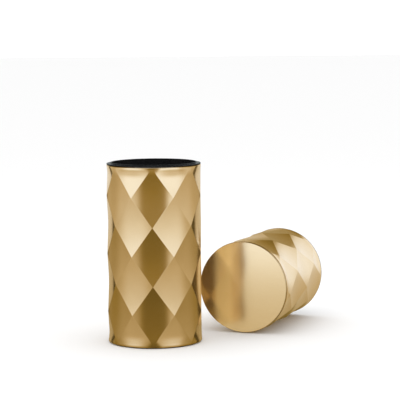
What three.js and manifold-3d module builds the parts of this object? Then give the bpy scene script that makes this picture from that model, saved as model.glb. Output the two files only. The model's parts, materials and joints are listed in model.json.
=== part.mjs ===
// Insulated champagne bottle cooler: a tall faceted metal base with a black inner liner,
// and its matching lid, which lies on its side behind and to the right of the base.
// Units are millimetres, +Z is up. The base stands on z = 0 with its axis on the Z axis.
import * as THREE from 'three';
import { mergeVertices } from 'three/addons/utils/BufferGeometryUtils.js';
import Module from 'manifold-3d';

// ---- driving dimensions -------------------------------------------------------------
const RIM_RADIUS = 50;              // round rims of both shells
const PEAK_RADIUS = 50.8;           // where four diamond facets meet in a point
const DIAMONDS_AROUND = 7;
const DIAMOND_HEIGHT = 61.6;
const BASE_FACET_TURN = -2.4;       // degrees, azimuth of the front column of peaks
const GAP = 0.3;                    // clearance between touching pieces

const BORE_RADIUS = 47.1;           // inside of both shells
const LINER_OUTER = 45.6;
const LINER_INNER = 44.6;           // clears an 88 mm bottle
const PACKING_INNER = LINER_OUTER + GAP;
const PACKING_OUTER = BORE_RADIUS - GAP;
const DISC_RADIUS = 45.4;           // foam discs inside the bore
const EDGE_CHAMFER = 0.6;

const BASE_SHELL_BOTTOM = 1;
const BASE_SHELL_TOP = 189.4;
const BASE_FIRST_PEAK = 3.5;        // height of the lowest row of peaks
const FOOT_PAD_TOP = 1.6;
const END_PLATE = [1.9, 3.7];
const BASE_FOAM_DISC = [4, 6];
const LINER_FLOOR = [6.3, 7.5];
const REST_PAD = [7.8, 9];
const LIP_BOTTOM = BASE_SHELL_TOP + GAP;
const LIP_TOP = 190.9;
const LIP_RADIUS = 49.9;
const BEAD_TOP = 192;               // raised inner bead that centres the lid
const LINER_SEAL = [182.5, 187.5];

const LID_LENGTH = 134;             // mouth at 0, closed end at LID_LENGTH
const LID_FACET_TURN = 29;          // degrees, about the lid's own axis
const LID_FIRST_PEAK = -2.9;        // in line with the base's top peaks when the lid is on
const TOP_DISC_BOTTOM = 132.4;
const TOP_DISC_RADIUS = 49.6;
const LID_SHELL = [1.7, TOP_DISC_BOTTOM - GAP];
const LID_CEILING = [128, 129.2];
const LID_FOAM_DISC = [129.5, 132.1];
const COLLAR_FLANGE_TOP = 1.4;
const COLLAR_TOP = 6.2;
const COLLAR_SEAL = [1.4, 4.2];

const LID_YAW = 22.3;               // degrees that the lid's axis is turned from straight back
const LID_DISC_CENTRE = [95.9, 36.7];
const SCREWS = 3;
const SCREW_CIRCLE = 34;
const SCREW_RADIUS = 1.3;
const HEAD_RADIUS = 2.6;
const BOSS_RADIUS = 3.2;

const FACET_STEPS = 3;              // mesh steps along each facet edge
const AROUND = 2 * DIAMONDS_AROUND * FACET_STEPS;
const SMALL_ROUND = 16;             // sides of screws, bosses and holes
const FADE = 10;                    // facets melt into the round rim over this height

// ---- materials ----------------------------------------------------------------------
const finish = (color, roughness, metalness) =>
  new THREE.MeshStandardMaterial({ color, roughness, metalness });
const champagneMetal = finish(0xc9a566, 0.28, 1);
const brushedMetal = finish(0xd2b37c, 0.35, 1);
const glossBlack = finish(0x0b0b0c, 0.12, 0);
const rubber = finish(0x161616, 0.8, 0);
const foam = finish(0xb9bab4, 0.95, 0);
const steel = finish(0xa8a9ab, 0.35, 1);
const feltBlack = finish(0x232323, 0.97, 0);

// ---- solid helpers ------------------------------------------------------------------
const wasm = await Module();
wasm.setup();

function toSolid(geometry) {
  const bare = geometry.clone();
  bare.deleteAttribute('normal');
  bare.deleteAttribute('uv');
  const merged = mergeVertices(bare, 1e-4);
  return new wasm.Manifold(new wasm.Mesh({
    numProp: 3,
    vertProperties: new Float32Array(merged.attributes.position.array),
    triVerts: new Uint32Array(merged.index.array),
  }));
}

function toGeometry(solid) {
  const mesh = solid.getMesh();
  const geometry = new THREE.BufferGeometry();
  geometry.setAttribute('position', new THREE.BufferAttribute(mesh.vertProperties, 3));
  geometry.setIndex(new THREE.BufferAttribute(mesh.triVerts, 1));
  geometry.computeVertexNormals();
  return geometry;
}

// Cuts every tool from the body after every extra has been joined to it.
function shaped(geometry, extras, tools) {
  let solid = toSolid(geometry);
  for (const extra of extras) solid = solid.add(toSolid(extra));
  for (const tool of tools) solid = solid.subtract(toSolid(tool));
  return toGeometry(solid);
}

// Turns an outline of [radius, height] points about the Z axis. The outline runs
// counter-clockwise with radius to the right and height up.
function turned(outline, segments = AROUND) {
  const points = outline.map(([radius, height]) => new THREE.Vector2(radius, height));
  return new THREE.LatheGeometry(points, segments).rotateX(Math.PI / 2);
}

function ring(inner, outer, bottom, top) {
  return turned([[inner, bottom], [outer, bottom], [outer, top], [inner, top], [inner, bottom]]);
}

function disc(radius, bottom, top) {
  return turned([[0, bottom], [radius, bottom], [radius, top], [0, top]]);
}

function screwPlaces() {
  const places = [];
  for (let index = 0; index < SCREWS; index += 1) {
    const angle = (index + 0.5) * 2 * Math.PI / SCREWS;
    places.push([SCREW_CIRCLE * Math.cos(angle), SCREW_CIRCLE * Math.sin(angle)]);
  }
  return places;
}

// One upright cylinder at every screw place.
function posts(radius, bottom, top) {
  return screwPlaces().map(([x, y]) =>
    turned([[0, bottom], [radius, bottom], [radius, top], [0, top]], SMALL_ROUND)
      .translate(x, y, 0));
}

// ---- faceted shells -----------------------------------------------------------------
// Peaks stand where column + row is even. Each diamond between four peaks is a saddle
// spanned by four straight edges, so it is hollow from top to bottom and bowed across.
function facetPoint(column, row, turn) {
  const rising = (row + column) / 2;
  const falling = (row - column) / 2;
  const corner = [Math.floor(rising), Math.floor(falling)];
  const part = [rising - corner[0], falling - corner[1]];
  const point = new THREE.Vector2();
  for (const [up, down] of [[0, 0], [1, 0], [0, 1], [1, 1]]) {
    const peakColumn = corner[0] + up - corner[1] - down;
    const azimuth = turn * Math.PI / 180 + peakColumn * Math.PI / DIAMONDS_AROUND;
    const weight = (up ? part[0] : 1 - part[0]) * (down ? part[1] : 1 - part[1]);
    point.x += weight * PEAK_RADIUS * Math.sin(azimuth);
    point.y -= weight * PEAK_RADIUS * Math.cos(azimuth);
  }
  return point;
}

function circleRow(radius, height, turn) {
  const row = [];
  for (let step = 0; step < AROUND; step += 1) {
    const azimuth = turn * Math.PI / 180 + step * 2 * Math.PI / AROUND;
    row.push(new THREE.Vector3(radius * Math.sin(azimuth), -radius * Math.cos(azimuth), height));
  }
  return row;
}

// One level of the skin, blended into the round rim when it is close to an end.
function facetRow(step, height, bottom, top, turn) {
  const share = Math.min(1, Math.min(height - bottom, top - height) / FADE);
  return circleRow(RIM_RADIUS, height, turn).map((round, index) => {
    const skin = facetPoint(index / FACET_STEPS, step / FACET_STEPS, turn);
    return round.lerp(new THREE.Vector3(skin.x, skin.y, height), share);
  });
}

// A tube whose outside is faceted and whose bore is round.
function facetedShell(bottom, top, firstPeak, turn) {
  const rows = [
    circleRow(BORE_RADIUS, bottom, turn),
    circleRow(RIM_RADIUS - EDGE_CHAMFER, bottom, turn),
    circleRow(RIM_RADIUS, bottom + EDGE_CHAMFER, turn),
  ];
  const rise = DIAMOND_HEIGHT / (2 * FACET_STEPS);
  const firstStep = Math.ceil((bottom + EDGE_CHAMFER - firstPeak) / rise);
  const ridgeRow = rows.length - firstStep;
  for (let step = firstStep; firstPeak + step * rise < top - EDGE_CHAMFER; step += 1) {
    rows.push(facetRow(step, firstPeak + step * rise, bottom, top, turn));
  }
  rows.push(circleRow(RIM_RADIUS, top - EDGE_CHAMFER, turn));
  rows.push(circleRow(RIM_RADIUS - EDGE_CHAMFER, top, turn));
  rows.push(circleRow(BORE_RADIUS, top, turn));

  const positions = rows.flat().flatMap((point) => point.toArray());
  const triangles = [];
  rows.forEach((row, level) => {
    const above = (level + 1) % rows.length;
    for (let step = 0; step < AROUND; step += 1) {
      const next = (step + 1) % AROUND;
      const a = level * AROUND + step;
      const b = level * AROUND + next;
      const c = above * AROUND + next;
      const d = above * AROUND + step;
      const alongRidge = (step - (level - ridgeRow)) % (2 * FACET_STEPS) === 0;
      if (alongRidge) triangles.push(a, b, c, a, c, d);
      else triangles.push(a, b, d, b, c, d);
    }
  });
  const geometry = new THREE.BufferGeometry();
  geometry.setAttribute('position', new THREE.Float32BufferAttribute(positions, 3));
  geometry.setIndex(triangles);
  geometry.computeVertexNormals();
  return geometry;
}

// ---- the pieces ---------------------------------------------------------------------
function piece(name, geometry, material) {
  const mesh = new THREE.Mesh(geometry, material);
  mesh.name = name;
  return mesh;
}

// Cup with a rounded lip that covers the shell's rim and a bead inside the lip.
function baseLiner() {
  const round = 0.5;
  const cup = turned([
    [0, LINER_FLOOR[0]],
    [LINER_OUTER, LINER_FLOOR[0]],
    [LINER_OUTER, LIP_BOTTOM],
    [LIP_RADIUS - round / 2, LIP_BOTTOM],
    [LIP_RADIUS, LIP_BOTTOM + round / 2],
    [LIP_RADIUS, LIP_TOP - round],
    [LIP_RADIUS - round, LIP_TOP],
    [LINER_OUTER, LIP_TOP],
    [LINER_OUTER, BEAD_TOP - round / 2],
    [LINER_OUTER - round / 2, BEAD_TOP],
    [LINER_INNER + round / 2, BEAD_TOP],
    [LINER_INNER, BEAD_TOP - round / 2],
    [LINER_INNER, LINER_FLOOR[1]],
    [0, LINER_FLOOR[1]],
  ]);
  const bosses = posts(BOSS_RADIUS, BASE_FOAM_DISC[0], LINER_FLOOR[0] + GAP);
  const pilots = posts(SCREW_RADIUS + GAP, BASE_FOAM_DISC[0] - 1, LINER_FLOOR[0] - 0.1);
  return shaped(cup, bosses, pilots);
}

function endPlate() {
  const recess = posts(HEAD_RADIUS + GAP, END_PLATE[0] - 1, END_PLATE[0] + 1.1);
  const holes = posts(SCREW_RADIUS + GAP, END_PLATE[0] - 1, END_PLATE[1] + 1);
  return shaped(disc(PACKING_OUTER, ...END_PLATE), [], [...recess, ...holes]);
}

function foamDisc([bottom, top]) {
  return shaped(disc(DISC_RADIUS, bottom, top), [], posts(BOSS_RADIUS + GAP, bottom - 1, top + 1));
}

function lidLiner() {
  const cup = turned([
    [LINER_INNER, COLLAR_SEAL[1] + GAP],
    [LINER_OUTER, COLLAR_SEAL[1] + GAP],
    [LINER_OUTER, LID_CEILING[1]],
    [0, LID_CEILING[1]],
    [0, LID_CEILING[0]],
    [LINER_INNER, LID_CEILING[0]],
    [LINER_INNER, COLLAR_SEAL[1] + GAP],
  ]);
  return shaped(cup, [], posts(SCREW_RADIUS + GAP, LID_CEILING[0] - 1, LID_CEILING[1] + 1));
}

// Flat end disc with a ring that centres it in the bore and bosses for its screws.
function topDisc() {
  const skirt = LID_CEILING[0] + 0.5;
  const plate = turned([
    [0, TOP_DISC_BOTTOM],
    [PACKING_INNER, TOP_DISC_BOTTOM],
    [PACKING_INNER, skirt],
    [PACKING_OUTER, skirt],
    [PACKING_OUTER, TOP_DISC_BOTTOM],
    [TOP_DISC_RADIUS, TOP_DISC_BOTTOM],
    [TOP_DISC_RADIUS, LID_LENGTH - EDGE_CHAMFER],
    [TOP_DISC_RADIUS - EDGE_CHAMFER, LID_LENGTH],
    [0, LID_LENGTH],
  ]);
  const bosses = posts(BOSS_RADIUS, LID_FOAM_DISC[0] + 0.5, TOP_DISC_BOTTOM + GAP);
  const pilots = posts(SCREW_RADIUS + GAP, LID_FOAM_DISC[0] - 1, TOP_DISC_BOTTOM + 0.6);
  return shaped(plate, bosses, pilots);
}

function collar() {
  return turned([
    [PACKING_INNER, 0],
    [TOP_DISC_RADIUS - GAP, 0],
    [TOP_DISC_RADIUS, GAP],
    [TOP_DISC_RADIUS, COLLAR_FLANGE_TOP],
    [PACKING_OUTER, COLLAR_FLANGE_TOP],
    [PACKING_OUTER, COLLAR_TOP],
    [PACKING_INNER, COLLAR_TOP],
    [PACKING_INNER, 0],
  ]);
}

// Screw standing head down, its head from headBottom to headTop.
function screw(headBottom, headTop, tip) {
  return turned([
    [0, headBottom],
    [HEAD_RADIUS, headBottom],
    [HEAD_RADIUS, headTop],
    [SCREW_RADIUS, headTop],
    [SCREW_RADIUS, tip - 0.4],
    [SCREW_RADIUS - 0.4, tip],
    [0, tip],
  ], SMALL_ROUND);
}

function addScrews(group, prefix, headBottom, headTop, tip) {
  screwPlaces().forEach(([x, y], index) => {
    const mesh = piece(`${prefix}_${index + 1}`, screw(headBottom, headTop, tip), steel);
    mesh.position.set(x, y, 0);
    group.add(mesh);
  });
}

// ---- base ---------------------------------------------------------------------------
const base = new THREE.Group();
base.add(piece('base_shell', facetedShell(
  BASE_SHELL_BOTTOM, BASE_SHELL_TOP, BASE_FIRST_PEAK, BASE_FACET_TURN,
), champagneMetal));
base.add(piece('base_liner', baseLiner(), glossBlack));
base.add(piece('base_liner_seal', ring(PACKING_INNER, PACKING_OUTER, ...LINER_SEAL), rubber));
base.add(piece('base_insulation_sleeve',
  ring(PACKING_INNER, PACKING_OUTER, BASE_FOAM_DISC[0], LINER_SEAL[0] - GAP), foam));
base.add(piece('base_insulation_disc', foamDisc(BASE_FOAM_DISC), foam));
base.add(piece('base_end_plate', endPlate(), steel));
base.add(piece('foot_pad', disc(PACKING_OUTER, 0, FOOT_PAD_TOP), rubber));
base.add(piece('bottle_rest_pad', disc(LINER_INNER - GAP, ...REST_PAD), feltBlack));
addScrews(base, 'base_screw', END_PLATE[0], END_PLATE[0] + 0.8, LINER_FLOOR[0] - 0.4);

// ---- lid, built upright with its mouth on z = 0 -------------------------------------
const lid = new THREE.Group();
lid.add(piece('lid_shell', facetedShell(
  LID_SHELL[0], LID_SHELL[1], LID_FIRST_PEAK, LID_FACET_TURN,
), champagneMetal));
lid.add(piece('lid_top_disc', topDisc(), brushedMetal));
lid.add(piece('lid_liner', lidLiner(), glossBlack));
lid.add(piece('lid_insulation_sleeve',
  ring(PACKING_INNER, PACKING_OUTER, COLLAR_TOP + GAP, LID_CEILING[0] + 0.2), foam));
lid.add(piece('lid_insulation_disc', foamDisc(LID_FOAM_DISC), foam));
lid.add(piece('lid_collar', collar(), rubber));
lid.add(piece('lid_collar_seal', ring(LINER_INNER + 0.2, LINER_OUTER, ...COLLAR_SEAL), rubber));
addScrews(lid, 'lid_screw', LID_CEILING[0] - 1.8, LID_CEILING[0] - GAP, TOP_DISC_BOTTOM + 0.2);

// The lid lies on its side, resting on its lowest peaks, with its closed end to the front.
const yaw = LID_YAW * Math.PI / 180;
const closedEnd = new THREE.Vector3(-Math.sin(yaw), -Math.cos(yaw), 0);
const across = new THREE.Vector3(Math.cos(yaw), -Math.sin(yaw), 0);
const halfColumn = 180 / DIAMONDS_AROUND;
const lowestPeak = (LID_FACET_TURN - halfColumn) * Math.PI / 180;
const restHeight = PEAK_RADIUS * Math.cos(lowestPeak);
lid.applyMatrix4(new THREE.Matrix4().makeBasis(across, new THREE.Vector3(0, 0, 1), closedEnd));
lid.position.set(LID_DISC_CENTRE[0], LID_DISC_CENTRE[1], restHeight)
  .addScaledVector(closedEnd, -LID_LENGTH);

const cooler = new THREE.Group();
cooler.add(base, lid);
export default cooler;
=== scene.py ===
import json
import math

import bpy
from mathutils import Matrix, Vector

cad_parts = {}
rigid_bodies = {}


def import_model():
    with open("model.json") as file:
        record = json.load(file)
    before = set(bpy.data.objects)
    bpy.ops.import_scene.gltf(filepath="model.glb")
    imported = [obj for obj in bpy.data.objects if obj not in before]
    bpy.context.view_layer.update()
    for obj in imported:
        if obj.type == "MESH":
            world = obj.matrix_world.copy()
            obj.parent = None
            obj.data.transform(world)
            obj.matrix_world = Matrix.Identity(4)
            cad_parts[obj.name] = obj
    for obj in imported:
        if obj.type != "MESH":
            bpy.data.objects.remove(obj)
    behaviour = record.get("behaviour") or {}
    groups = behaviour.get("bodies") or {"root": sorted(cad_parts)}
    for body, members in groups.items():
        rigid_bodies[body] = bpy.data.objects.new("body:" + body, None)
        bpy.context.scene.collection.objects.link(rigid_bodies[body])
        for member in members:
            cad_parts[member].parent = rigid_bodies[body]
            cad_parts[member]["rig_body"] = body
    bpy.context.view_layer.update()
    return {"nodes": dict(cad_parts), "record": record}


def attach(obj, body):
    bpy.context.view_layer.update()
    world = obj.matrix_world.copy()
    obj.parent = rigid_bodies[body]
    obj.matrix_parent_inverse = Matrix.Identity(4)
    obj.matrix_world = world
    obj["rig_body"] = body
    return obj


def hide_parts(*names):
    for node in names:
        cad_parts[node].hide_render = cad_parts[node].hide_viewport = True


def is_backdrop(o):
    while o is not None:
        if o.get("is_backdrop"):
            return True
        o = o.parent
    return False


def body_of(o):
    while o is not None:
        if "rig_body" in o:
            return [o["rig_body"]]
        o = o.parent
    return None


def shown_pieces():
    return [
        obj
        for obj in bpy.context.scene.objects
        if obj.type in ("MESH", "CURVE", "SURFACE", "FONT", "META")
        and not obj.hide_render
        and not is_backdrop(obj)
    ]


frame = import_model()
nodes = frame["nodes"]
MM = 0.001
TINY = 1e-9

# ---- dimensions shared with the CAD model ------------------------------------------
RIM_RADIUS = 50 * MM
PEAK_RADIUS = 50.8 * MM
BORE_RADIUS = 47.1 * MM
DIAMONDS_AROUND = 7
DIAMOND_HEIGHT = 61.6 * MM
FADE = 10 * MM                      # facets melt into the round rims over this height
LINER_OUTER = 45.6 * MM
LINER_INNER = 44.6 * MM
PACKING_OUTER = 46.8 * MM
PACKING_INNER = 45.9 * MM

BASE_TURN = -2.4
BASE_SHELL = (1 * MM, 189.4 * MM)
BASE_FIRST_PEAK = 3.5 * MM
LINER_FLOOR = (6.3 * MM, 7.5 * MM)
LIP = (189.7 * MM, 190.9 * MM)
LIP_RADIUS = 49.9 * MM
BEAD_TOP = 192 * MM

LID_TURN = 29
LID_FIRST_PEAK = -2.9 * MM
LID_LENGTH = 134 * MM
LID_SHELL = (1.7 * MM, 132.1 * MM)
TOP_DISC_BOTTOM = 132.4 * MM
TOP_DISC_RADIUS = 49.6 * MM
LID_CEILING = (128 * MM, 129.2 * MM)
DISC_SKIRT = LID_CEILING[0] + 0.5 * MM
LID_LINER_MOUTH = 4.5 * MM
COLLAR_FLANGE_TOP = 1.4 * MM
COLLAR_TOP = 6.2 * MM
LID_YAW = math.radians(22.3)
LID_DISC_CENTRE = (95.9 * MM, 36.7 * MM)

# ---- how finely the pieces are made ------------------------------------------------
EDGE = 0.8 * MM                     # rounded edges, a little softer than the CAD model's chamfers
EDGE_MIDDLE = 0.3 * EDGE            # how far the middle of a rounded edge is from both its faces
RIDGE = 0.32 * MM                   # width of the softly broken ridges
SHARP_ANGLE = 20                    # degrees, corners that turn by more than this are rounded
STEPS = 14                          # mesh steps along each facet edge
END_MARGIN = 0.2                    # steps kept free between the facets and a rim's edge
AROUND = 2 * DIAMONDS_AROUND * STEPS
LATHE_STEPS = 192

# ---- where the lid lies ------------------------------------------------------------
closed_end = Vector((-math.sin(LID_YAW), -math.cos(LID_YAW), 0))
across = Vector((math.cos(LID_YAW), -math.sin(LID_YAW), 0))
rest_height = PEAK_RADIUS * math.cos(math.radians(LID_TURN - 180 / DIAMONDS_AROUND))
mouth = Vector((*LID_DISC_CENTRE, rest_height)) - closed_end * LID_LENGTH
UPRIGHT = Matrix.Identity(4)
LYING = Matrix((
    (across.x, 0, closed_end.x, mouth.x),
    (across.y, 0, closed_end.y, mouth.y),
    (across.z, 1, closed_end.z, mouth.z),
    (0, 0, 0, 1),
))


# ---- materials ---------------------------------------------------------------------
class Nodes:
    """A material's node tree, with short ways to add and join nodes."""

    def __init__(self, name):
        self.material = bpy.data.materials.new(name)
        self.material.use_nodes = True
        self.tree = self.material.node_tree
        self.shader = self.tree.nodes["Principled BSDF"]
        self.place = self.add("ShaderNodeTexCoord").outputs["Object"]

    def add(self, kind, **settings):
        node = self.tree.nodes.new(kind)
        for key, value in settings.items():
            setattr(node, key, value)
        return node

    def put(self, socket, value):
        if isinstance(value, bpy.types.NodeSocket):
            self.tree.links.new(value, socket)
        else:
            socket.default_value = value

    def set(self, **values):
        for key, value in values.items():
            self.put(self.shader.inputs[key.replace("_", " ")], value)

    def math(self, operation, a, b=0.0):
        node = self.add("ShaderNodeMath", operation=operation)
        self.put(node.inputs[0], a)
        self.put(node.inputs[1], b)
        return node.outputs[0]

    def mapped(self, vector, **settings):
        node = self.add("ShaderNodeMapping")
        for key, value in settings.items():
            node.inputs[key].default_value = value
        self.put(node.inputs["Vector"], vector)
        return node.outputs[0]

    def noise(self, scale, detail, roughness, vector=None):
        node = self.add("ShaderNodeTexNoise")
        self.put(node.inputs["Vector"], vector or self.place)
        node.inputs["Scale"].default_value = scale
        node.inputs["Detail"].default_value = detail
        node.inputs["Roughness"].default_value = roughness
        return node.outputs["Fac"]

    def span(self, value, low, high):
        node = self.add("ShaderNodeMapRange")
        self.put(node.inputs["Value"], value)
        node.inputs["To Min"].default_value = low
        node.inputs["To Max"].default_value = high
        return node.outputs[0]

    def tint(self, value, low, high):
        """Runs from the low colour to the high one over the middle of a noise's range."""
        ramp = self.add("ShaderNodeValToRGB")
        for element, at, colour in zip(ramp.color_ramp.elements, (0.3, 0.7), (low, high)):
            element.position = at
            element.color = (*colour, 1)
        self.put(ramp.inputs[0], value)
        return ramp.outputs[0]

    def bump(self, height, strength, distance):
        node = self.add("ShaderNodeBump")
        node.inputs["Strength"].default_value = strength
        node.inputs["Distance"].default_value = distance
        self.put(node.inputs["Height"], height)
        self.put(self.shader.inputs["Normal"], node.outputs[0])


def satin_gold():
    """Bead-blasted, champagne-gold anodised aluminium under a trace of clear lacquer."""
    n = Nodes("champagne_metal")
    grain = n.noise(2600, 3, 0.6)
    cloud = n.noise(38, 3, 0.55)
    n.set(
        Base_Color=n.tint(cloud, (0.825, 0.660, 0.420), (0.860, 0.695, 0.452)),
        Metallic=1.0,
        Roughness=n.math("ADD", n.span(grain, 0.14, 0.19), n.span(cloud, -0.01, 0.01)),
        Coat_Weight=0.05,
        Coat_Roughness=0.18,
    )
    n.bump(grain, 0.10, 0.00004)
    return n.material


def brushed_gold():
    """Straight-brushed gold anodised aluminium. The lines run level across the lid's end disc."""
    n = Nodes("brushed_end")
    square_to_disc = n.mapped(n.place, Rotation=(0, 0, LID_YAW))
    fine = n.noise(1.0, 3, 0.65, n.mapped(square_to_disc, Scale=(60, 60, 3600)))
    grit = n.noise(1100, 2, 0.6)
    mottle = n.math("ADD", n.math("MULTIPLY", fine, 0.6), n.math("MULTIPLY", grit, 0.4))
    n.set(
        Base_Color=n.tint(mottle, (0.88, 0.715, 0.455), (0.95, 0.80, 0.545)),
        Metallic=0.96,
        Roughness=n.span(fine, 0.16, 0.20),
        Anisotropic=0.55,
        Coat_Weight=0.08,
        Coat_Roughness=0.2,
    )
    upright = n.add("ShaderNodeCombineXYZ")
    upright.inputs["Z"].default_value = 1.0
    tangent = n.add("ShaderNodeVectorTransform", vector_type="VECTOR")
    tangent.convert_from = "OBJECT"
    tangent.convert_to = "WORLD"
    n.put(tangent.inputs[0], upright.outputs[0])
    n.put(n.shader.inputs["Tangent"], tangent.outputs[0])
    n.bump(fine, 0.05, 0.00001)
    return n.material


def gloss_black():
    """Gloss black moulded plastic with a faint orange-peel skin and fine handling marks."""
    n = Nodes("gloss_black")
    peel = n.noise(420, 2, 0.5)
    marks = n.noise(90, 4, 0.7)
    n.set(
        Base_Color=n.tint(marks, (0.008, 0.008, 0.009), (0.014, 0.014, 0.015)),
        Roughness=n.span(marks, 0.09, 0.17),
        Specular_IOR_Level=0.55,
    )
    n.bump(peel, 0.05, 0.00015)
    return n.material


def matt(name, dark, light, grain_scale, roughness, strength, depth):
    """A matt, finely grained material: rubber, foam or felt."""
    n = Nodes(name)
    grain = n.noise(grain_scale, 4, 0.7)
    n.set(
        Base_Color=n.tint(grain, dark, light),
        Roughness=n.span(grain, roughness - 0.08, min(1.0, roughness + 0.06)),
    )
    n.bump(grain, strength, depth)
    return n.material


def satin_steel():
    """Satin steel with fine lines that run along X."""
    n = Nodes("steel")
    fine = n.noise(1.0, 3, 0.6, n.mapped(n.place, Scale=(60, 2600, 60)))
    n.set(
        Base_Color=n.tint(fine, (0.52, 0.52, 0.53), (0.64, 0.64, 0.65)),
        Metallic=1.0,
        Roughness=n.span(fine, 0.28, 0.4),
        Anisotropic=0.4,
    )
    n.bump(fine, 0.1, 0.00003)
    return n.material


MATERIALS = {
    "champagne_metal": satin_gold(),
    "brushed_end": brushed_gold(),
    "gloss_black": gloss_black(),
    "rubber": matt("rubber", (0.018, 0.018, 0.019), (0.032, 0.032, 0.033), 900, 0.72, 0.25, 0.00012),
    "foam": matt("foam", (0.42, 0.42, 0.40), (0.56, 0.56, 0.53), 1400, 0.92, 0.5, 0.0003),
    "steel": satin_steel(),
    "felt": matt("felt", (0.015, 0.015, 0.016), (0.045, 0.045, 0.046), 1800, 0.92, 0.6, 0.0004),
}
SLOT_OF = {row["node"]: row["material_slot"] for row in frame["record"]["subparts"]}
for name, node in nodes.items():
    node.data.materials.clear()
    node.data.materials.append(MATERIALS[SLOT_OF[name]])


# ---- piece building ----------------------------------------------------------------
def make_piece(name, points, faces, place, body, stands_for, slot):
    """A mesh piece in the row frame that stands for a CAD node and rides on its body."""
    mesh = bpy.data.meshes.new(name)
    mesh.from_pydata([place @ Vector(p) for p in points], [], faces)
    mesh.validate()
    mesh.update()
    piece = bpy.data.objects.new(name, mesh)
    bpy.context.scene.collection.objects.link(piece)
    mesh.materials.append(MATERIALS[slot])
    for face in mesh.polygons:
        face.use_smooth = True
    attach(piece, body)
    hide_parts(stands_for)
    return piece


def bevel(piece, width, segments, limit):
    modifier = piece.modifiers.new("edges", "BEVEL")
    modifier.width = width
    modifier.segments = segments
    modifier.limit_method = limit
    modifier.angle_limit = math.radians(SHARP_ANGLE)
    modifier.harden_normals = True
    modifier.use_clamp_overlap = True


def turned(name, outline, place, body, stands_for, slot, edge, segments):
    """Turns an outline of (radius, height) points about the piece's axis and rounds its corners.

    The outline starts and ends on the axis, or else closes on itself.
    """
    points, faces, rings = [], [], []
    for radius, height in outline:
        start = len(points)
        if radius < TINY:
            rings.append([start] * LATHE_STEPS)
            points.append((0, 0, height))
            continue
        rings.append(list(range(start, start + LATHE_STEPS)))
        for step in range(LATHE_STEPS):
            azimuth = 2 * math.pi * step / LATHE_STEPS
            points.append((radius * math.cos(azimuth), radius * math.sin(azimuth), height))
    closed = outline[0][0] > TINY
    following = rings[1:] + rings[:1] if closed else rings[1:]
    for low, high in zip(rings, following):
        for step in range(LATHE_STEPS):
            after = (step + 1) % LATHE_STEPS
            face = [low[step], low[after], high[after], high[step]]
            face = [v for i, v in enumerate(face) if v not in face[:i]]
            if len(face) > 2:
                faces.append(face)
    piece = make_piece(name, points, faces, place, body, stands_for, slot)
    bevel(piece, edge, segments, "ANGLE")


# ---- faceted shells ----------------------------------------------------------------
def facet_point(column, row, turn):
    """A point of the skin: a mix of the four peaks round it. Peaks stand where column + row is even."""
    rising, falling = (row + column) / 2, (row - column) / 2
    low = (math.floor(rising + TINY), math.floor(falling + TINY))
    share = (rising - low[0], falling - low[1])
    x = y = 0.0
    for up in (0, 1):
        for down in (0, 1):
            azimuth = math.radians(turn) + (low[0] + up - low[1] - down) * math.pi / DIAMONDS_AROUND
            weight = (share[0] if up else 1 - share[0]) * (share[1] if down else 1 - share[1])
            x += weight * PEAK_RADIUS * math.sin(azimuth)
            y -= weight * PEAK_RADIUS * math.cos(azimuth)
    return x, y


def round_row(radius, height, turn):
    row = []
    for step in range(AROUND):
        azimuth = math.radians(turn) + 2 * math.pi * step / AROUND
        row.append((radius * math.sin(azimuth), -radius * math.cos(azimuth), height))
    return row


def facet_row(step, height, bottom, top, turn):
    """One level of the skin, blended into the round rim when it is close to an end."""
    share = min(1.0, min(height - bottom, top - height) / FADE)
    row = []
    for index, (x, y, z) in enumerate(round_row(RIM_RADIUS, height, turn)):
        skin = facet_point(index / STEPS, step / STEPS, turn)
        row.append((x + (skin[0] - x) * share, y + (skin[1] - y) * share, z))
    return row


def faceted_shell(name, ends, first_peak, turn, place, body, stands_for):
    """A tube with a round bore and a skin of saddle-shaped diamonds with softly broken ridges."""
    bottom, top = ends
    rise = DIAMOND_HEIGHT / (2 * STEPS)
    rows = [
        round_row(BORE_RADIUS, bottom, turn),
        round_row(RIM_RADIUS - EDGE, bottom, turn),
        round_row(RIM_RADIUS - EDGE_MIDDLE, bottom + EDGE_MIDDLE, turn),
        round_row(RIM_RADIUS, bottom + EDGE, turn),
    ]
    first_row = len(rows)
    step = math.ceil((bottom + EDGE - first_peak) / rise + END_MARGIN)
    ridge_row = first_row - step
    while first_peak + step * rise < top - EDGE - END_MARGIN * rise:
        rows.append(facet_row(step, first_peak + step * rise, bottom, top, turn))
        step += 1
    last_row = len(rows) - 1
    rows.append(round_row(RIM_RADIUS, top - EDGE, turn))
    rows.append(round_row(RIM_RADIUS - EDGE_MIDDLE, top - EDGE_MIDDLE, turn))
    rows.append(round_row(RIM_RADIUS - EDGE, top, turn))
    rows.append(round_row(BORE_RADIUS, top, turn))

    points = [point for row in rows for point in row]
    faces, ridges = [], set()
    for level in range(len(rows)):
        above = (level + 1) % len(rows)
        skin = first_row <= level < last_row
        for index in range(AROUND):
            after = (index + 1) % AROUND
            a, b = level * AROUND + index, level * AROUND + after
            c, d = above * AROUND + after, above * AROUND + index
            rising = (index - (level - ridge_row)) % (2 * STEPS) == 0
            falling = (index + 1 + (level - ridge_row)) % (2 * STEPS) == 0
            if skin and rising:
                faces += [(a, b, c), (a, c, d)]
                ridges.add((a, c))
            elif skin and falling:
                faces += [(a, b, d), (b, c, d)]
                ridges.add((b, d))
            else:
                faces.append((a, b, c, d))
    piece = make_piece(name, points, faces, place, body, stands_for, "champagne_metal")
    mesh = piece.data
    weight = mesh.attributes.new("bevel_weight_edge", "FLOAT", "EDGE")
    for edge in mesh.edges:
        low, high = sorted(edge.vertices)
        if (low, high) in ridges or (high, low) in ridges:
            weight.data[edge.index].value = 1.0
    bevel(piece, RIDGE, 2, "WEIGHT")


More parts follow.
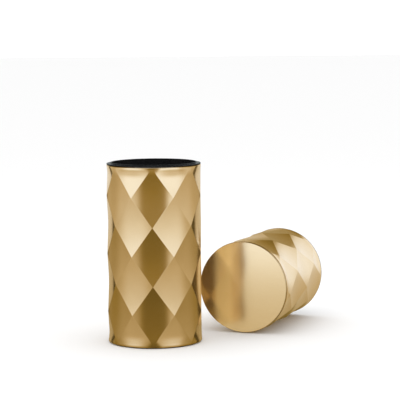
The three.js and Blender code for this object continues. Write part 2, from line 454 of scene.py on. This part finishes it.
faceted_shell("base_shell_skin", BASE_SHELL, BASE_FIRST_PEAK, BASE_TURN, UPRIGHT, "base", "base_shell")
faceted_shell("lid_shell_skin", LID_SHELL, LID_FIRST_PEAK, LID_TURN, LYING, "lid", "lid_shell")

# ---- liners, end disc and collar ---------------------------------------------------
turned("base_liner_cup", [
    (0, LINER_FLOOR[0]), (LINER_OUTER, LINER_FLOOR[0]), (LINER_OUTER, LIP[0]),
    (LIP_RADIUS, LIP[0]), (LIP_RADIUS, LIP[1]), (LINER_OUTER, LIP[1]),
    (LINER_OUTER, BEAD_TOP), (LINER_INNER, BEAD_TOP),
    (LINER_INNER, LINER_FLOOR[1]), (0, LINER_FLOOR[1]),
], UPRIGHT, "base", "base_liner", "gloss_black", edge=0.45 * MM, segments=3)
turned("lid_end_disc", [
    (0, TOP_DISC_BOTTOM), (PACKING_INNER, TOP_DISC_BOTTOM), (PACKING_INNER, DISC_SKIRT),
    (PACKING_OUTER, DISC_SKIRT), (PACKING_OUTER, TOP_DISC_BOTTOM),
    (TOP_DISC_RADIUS, TOP_DISC_BOTTOM), (TOP_DISC_RADIUS, LID_LENGTH), (0, LID_LENGTH),
], LYING, "lid", "lid_top_disc", "brushed_end", edge=EDGE, segments=3)
turned("lid_liner_cup", [
    (LINER_INNER, LID_LINER_MOUTH), (LINER_OUTER, LID_LINER_MOUTH), (LINER_OUTER, LID_CEILING[1]),
    (0, LID_CEILING[1]), (0, LID_CEILING[0]), (LINER_INNER, LID_CEILING[0]),
], LYING, "lid", "lid_liner", "gloss_black", edge=0.3 * MM, segments=2)
turned("lid_collar_ring", [
    (PACKING_INNER, 0), (TOP_DISC_RADIUS, 0), (TOP_DISC_RADIUS, COLLAR_FLANGE_TOP),
    (PACKING_OUTER, COLLAR_FLANGE_TOP), (PACKING_OUTER, COLLAR_TOP), (PACKING_INNER, COLLAR_TOP),
], LYING, "lid", "lid_collar", "rubber", edge=0.35 * MM, segments=3)

# ---- floor -------------------------------------------------------------------------
bpy.ops.mesh.primitive_plane_add(size=40, location=(0, 0, 0))
floor = bpy.context.object
floor.name = "floor"
floor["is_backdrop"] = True
paint = Nodes("floor_paint")
paint.set(Base_Color=(0.92, 0.92, 0.92, 1), Roughness=0.85, Specular_IOR_Level=0.1)
floor.data.materials.append(paint.material)
floor.visible_glossy = False

# ---- the mirrored studio -----------------------------------------------------------
# The metal mirrors round tents of light: a wall, with softboxes and dark flags in front of it.
# A panel is its middle, half its width, its soft edge (all in degrees round the tent, where 0 is
# the camera's side and 90 is +X) and its level. Heights are (metres, share of the level).
BASE_WALL = 0.55
BASE_PANELS = [
    (-51, 20, 24, 0.84),            # left softbox
    (36, 24, 16, 0.82),             # right softbox
    (-3, 17, 8, 0.27),              # flag in front, below the camera
    (-112, 11, 16, 0.43),           # left grey card
    (110, 11, 16, 0.45),            # right grey card
    (-155, 18, 12, 0.66),           # rear left softbox
    (150, 18, 12, 0.60),            # rear right softbox
    (180, 12, 16, 0.34),            # flag behind
    (-132, 5, 2, 0.07),             # thin black flag that draws the left edge
    (125, 6, 2, 0.07),              # thin black flag that draws the right edge
]
BASE_HEIGHTS = [
    (-0.30, 0.40), (0.0, 0.70), (0.20, 1.15), (0.25, 1.10), (0.33, 0.55), (0.60, 0.50), (0.90, 3.0),
]
LID_WALL = 0.56
LID_PANELS = [
    (-55, 40, 10, 0.92),            # left softbox
    (7, 18, 8, 0.10),               # flag in front, below the camera
    (42, 16, 12, 0.43),             # grey card on the right
    (135, 24, 20, 0.88),            # rear softbox
    (171, 11, 6, 0.34),             # flag behind
]
LID_HEIGHTS = [(-0.35, 0.34), (0.0, 0.66), (0.08, 1.0), (0.20, 0.95), (0.35, 0.50), (0.60, 0.36)]
LINER_WALL = 0.18
LINER_PANELS = [
    (97, 25, 30, 0.60),             # softbox on the right
    (180, 30, 40, 0.50),            # rear softbox
]
LINER_HEIGHTS = [(0.10, 0.15), (0.22, 0.60), (0.40, 0.80), (0.80, 0.30)]
# Colour of the mirrored light by its level.
GOLD_TINTS = [
    (0.0, (0.0, 0.0, 0.0)),         # black
    (0.26, (0.31, 0.21, 0.05)),     # brown shade
    (0.51, (0.61, 0.49, 0.30)),     # tan
    (0.76, (0.90, 0.86, 0.78)),     # cream
    (1.10, (1.30, 1.45, 1.75)),     # cool white
]
GREY_TINTS = [(0.0, (0.0, 0.0, 0.0)), (1.0, (0.92, 1.0, 1.0))]
SLANT_FROM = 0.08                   # height above which a tent's panels lean over
HALF_TURN = 180
TENT_SIDES = 96


def lay_panels(n, azimuth, wall, panels):
    """The level of light round the tent: the wall's, covered by each panel in turn."""
    level = wall
    for middle, half_width, edge, panel_level in panels:
        away = n.add("ShaderNodeMath", operation="WRAP")
        n.put(away.inputs[0], n.math("SUBTRACT", azimuth, middle))
        away.inputs[1].default_value = HALF_TURN
        away.inputs[2].default_value = -HALF_TURN
        share = n.add("ShaderNodeMapRange", interpolation_type="SMOOTHSTEP")
        share.inputs["From Min"].default_value = half_width + edge / 2
        share.inputs["From Max"].default_value = half_width - edge / 2
        n.put(share.inputs["Value"], n.math("ABSOLUTE", away.outputs[0]))
        change = n.math("MULTIPLY", share.outputs[0], n.math("SUBTRACT", panel_level, level))
        level = n.math("ADD", level, change)
    return level


def curve_through(n, value, points):
    """A smooth curve of a value through (x, y) points."""
    low, high = points[0][0], points[-1][0]
    top = max(y for _, y in points)
    node = n.add("ShaderNodeFloatCurve")
    curve = node.mapping.curves[0]
    placed = [((x - low) / (high - low), y / top) for x, y in points]
    curve.points[0].location = placed[0]
    curve.points[1].location = placed[-1]
    for x, y in placed[1:-1]:
        curve.points.new(x, y)
    node.mapping.update()
    share = n.add("ShaderNodeMapRange")
    share.inputs["From Min"].default_value = low
    share.inputs["From Max"].default_value = high
    n.put(share.inputs["Value"], value)
    n.put(node.inputs["Value"], share.outputs[0])
    return n.math("MULTIPLY", node.outputs[0], top)


def only_mirrored(source, n, glow, mirrors):
    """Lets a glowing mesh be seen in the reflections of the given pieces and nowhere else."""
    through = n.add("ShaderNodeAddShader")
    n.put(through.inputs[0], glow.outputs[0])
    n.put(through.inputs[1], n.add("ShaderNodeBsdfTransparent").outputs[0])
    n.put(n.tree.nodes["Material Output"].inputs["Surface"], through.outputs[0])
    source.data.materials.append(n.material)
    source.visible_camera = False
    source.visible_diffuse = False
    source.visible_transmission = False
    source.visible_shadow = False
    lit = bpy.data.collections.new("mirrors_" + source.name)
    for piece in mirrors:
        lit.objects.link(piece)
    source.light_linking.receiver_collection = lit


def tent_mesh(name, radius, reach):
    """A closed cylinder from reach below the floor to reach above it."""
    points = []
    for z in (-reach, reach):
        for side in range(TENT_SIDES):
            azimuth = 2 * math.pi * side / TENT_SIDES
            points.append((radius * math.sin(azimuth), -radius * math.cos(azimuth), z))
    faces = []
    for side in range(TENT_SIDES):
        after = (side + 1) % TENT_SIDES
        faces.append((side, after, TENT_SIDES + after, TENT_SIDES + side))
    faces.append(tuple(range(TENT_SIDES)))
    faces.append(tuple(range(TENT_SIDES, 2 * TENT_SIDES)))
    mesh = bpy.data.meshes.new(name)
    mesh.from_pydata(points, [], faces)
    return mesh


def light_tent(name, mirrors, centre, radius, reach, wall, panels, heights, tints, slant=0.0):
    """A round tent of soft light that only the reflections in the given pieces see.

    Above SLANT_FROM the panels lean over by slant degrees a metre.
    """
    tent = bpy.data.objects.new(name, tent_mesh(name, radius, reach))
    tent.location = (*centre, 0)
    bpy.context.scene.collection.objects.link(tent)
    tent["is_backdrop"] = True
    n = Nodes(name)
    n.tree.nodes.remove(n.shader)
    split = n.add("ShaderNodeSeparateXYZ")
    n.put(split.inputs[0], n.place)
    x, y, z = split.outputs
    azimuth = n.math("MULTIPLY", n.math("ARCTAN2", x, n.math("MULTIPLY", y, -1.0)), HALF_TURN / math.pi)
    lean = n.math("MULTIPLY", n.math("MAXIMUM", n.math("SUBTRACT", z, SLANT_FROM), 0.0), slant)
    around = lay_panels(n, n.math("ADD", azimuth, lean), wall, panels)
    level = n.math("MULTIPLY", around, curve_through(n, z, heights))
    ramp = n.add("ShaderNodeValToRGB")
    stops = ramp.color_ramp.elements
    stops.remove(stops[0])
    top = tints[-1][0]
    bright = max(tints[-1][1])
    for index, (at, colour) in enumerate(tints):
        stop = stops[0] if index == 0 else stops.new(at / top)
        stop.position = at / top
        stop.color = (*(c / bright for c in colour), 1)
    n.put(ramp.inputs[0], n.math("DIVIDE", level, top))
    glow = n.add("ShaderNodeEmission")
    n.put(glow.inputs["Color"], ramp.outputs[0])
    glow.inputs["Strength"].default_value = bright
    only_mirrored(tent, n, glow, mirrors)


def fill_card(name, mirrors, corners, radiance, soft_share):
    """A small card of light that only the given pieces mirror.

    It fades out towards both sides, over soft_share of its width at each.
    """
    mesh = bpy.data.meshes.new(name)
    mesh.from_pydata(corners, [], [(0, 1, 2, 3)])
    sheet = mesh.uv_layers.new(name="sheet")
    for loop, uv in zip(sheet.data, [(0, 0), (1, 0), (1, 1), (0, 1)]):
        loop.uv = uv
    card = bpy.data.objects.new(name, mesh)
    bpy.context.scene.collection.objects.link(card)
    card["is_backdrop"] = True
    n = Nodes(name)
    n.tree.nodes.remove(n.shader)
    split = n.add("ShaderNodeSeparateXYZ")
    n.put(split.inputs[0], n.add("ShaderNodeTexCoord").outputs["UV"])
    fade = n.add("ShaderNodeMapRange", interpolation_type="SMOOTHSTEP")
    fade.inputs["From Max"].default_value = soft_share
    n.put(fade.inputs["Value"], n.math("PINGPONG", split.outputs["X"], 0.5))
    glow = n.add("ShaderNodeEmission")
    glow.inputs["Color"].default_value = (*radiance, 1)
    n.put(glow.inputs["Strength"], fade.outputs[0])
    only_mirrored(card, n, glow, mirrors)


black = [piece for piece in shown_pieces() if piece.data.materials[0] == MATERIALS["gloss_black"]]
base_parts = [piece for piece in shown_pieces() if piece not in black and body_of(piece) == ["base"]]
lid_parts = [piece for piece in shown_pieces() if piece not in black and piece not in base_parts]
end_disc = [piece for piece in lid_parts if piece.data.materials[0] == MATERIALS["brushed_end"]]
light_tent(
    "base_tent", base_parts, centre=(0, 0), radius=0.46, reach=1.50,
    wall=BASE_WALL, panels=BASE_PANELS, heights=BASE_HEIGHTS, tints=GOLD_TINTS,
)
light_tent(
    "lid_tent", lid_parts, centre=(0.12, 0.09), radius=0.32, reach=1.20,
    wall=LID_WALL, panels=LID_PANELS, heights=LID_HEIGHTS, tints=GOLD_TINTS, slant=75,
)
light_tent(
    "liner_tent", black, centre=(0, 0), radius=0.50, reach=1.60,
    wall=LINER_WALL, panels=LINER_PANELS, heights=LINER_HEIGHTS, tints=GREY_TINTS,
)

# A card in the gap between the base and the lid's end disc lightens the base's mirror image in the disc.
CARD_AZIMUTH = math.radians(115)
CARD_DISTANCE = 52.5 * MM
CARD_SPAN = (-9 * MM, 20 * MM)
CARD_HEIGHT = 105 * MM
card_out = Vector((math.sin(CARD_AZIMUTH), -math.cos(CARD_AZIMUTH), 0)) * CARD_DISTANCE
card_along = Vector((-math.cos(CARD_AZIMUTH), -math.sin(CARD_AZIMUTH), 0))
card_up = Vector((0, 0, CARD_HEIGHT))
card_start, card_end = (card_out + card_along * reach for reach in CARD_SPAN)
fill_card(
    "disc_card", end_disc, [card_start, card_end, card_end + card_up, card_start + card_up],
    radiance=(0.20, 0.19, 0.125), soft_share=0.3,
)

# ---- world and lamp ----------------------------------------------------------------
world = bpy.data.worlds.new("studio")
world.use_nodes = True
background = world.node_tree.nodes["Background"]
background.inputs["Color"].default_value = (1, 1, 1, 1)
background.inputs["Strength"].default_value = 1.12
world.cycles_visibility.glossy = False
bpy.context.scene.world = world

lamp = bpy.data.lights.new("top_softbox", "AREA")
lamp.shape = "DISK"
lamp.size = 1.6
lamp.energy = 4
top_light = bpy.data.objects.new("top_softbox", lamp)
top_light.location = (0.05, -0.1, 1.5)
top_light.visible_glossy = False
bpy.context.scene.collection.objects.link(top_light)

# ---- camera: in front of the base, looking along +Y and slightly down ----------------
EYE_DISTANCE = 1.763
EYE_HEIGHT = 0.3293
YAW = 0.0277                        # radians, as are PITCH and ROLL
PITCH = 0.101
ROLL = -0.0081
camera = bpy.data.cameras.new("camera")
camera.sensor_width = 36
camera.lens = 150.21
camera.clip_start = 0.05
camera.clip_end = 60
eye = bpy.data.objects.new("camera", camera)
ahead = Vector((math.sin(YAW) * math.cos(PITCH), math.cos(YAW) * math.cos(PITCH), -math.sin(PITCH)))
right = Vector((math.cos(YAW), -math.sin(YAW), 0))
upward = right.cross(ahead)
right, upward = (
    right * math.cos(ROLL) + upward * math.sin(ROLL),
    upward * math.cos(ROLL) - right * math.sin(ROLL),
)
eye.matrix_world = Matrix((
    (right.x, upward.x, -ahead.x, 0),
    (right.y, upward.y, -ahead.y, -EYE_DISTANCE),
    (right.z, upward.z, -ahead.z, EYE_HEIGHT),
    (0, 0, 0, 1),
))
bpy.context.scene.collection.objects.link(eye)
bpy.context.scene.camera = eye
bpy.context.scene.view_settings.view_transform = "Standard"
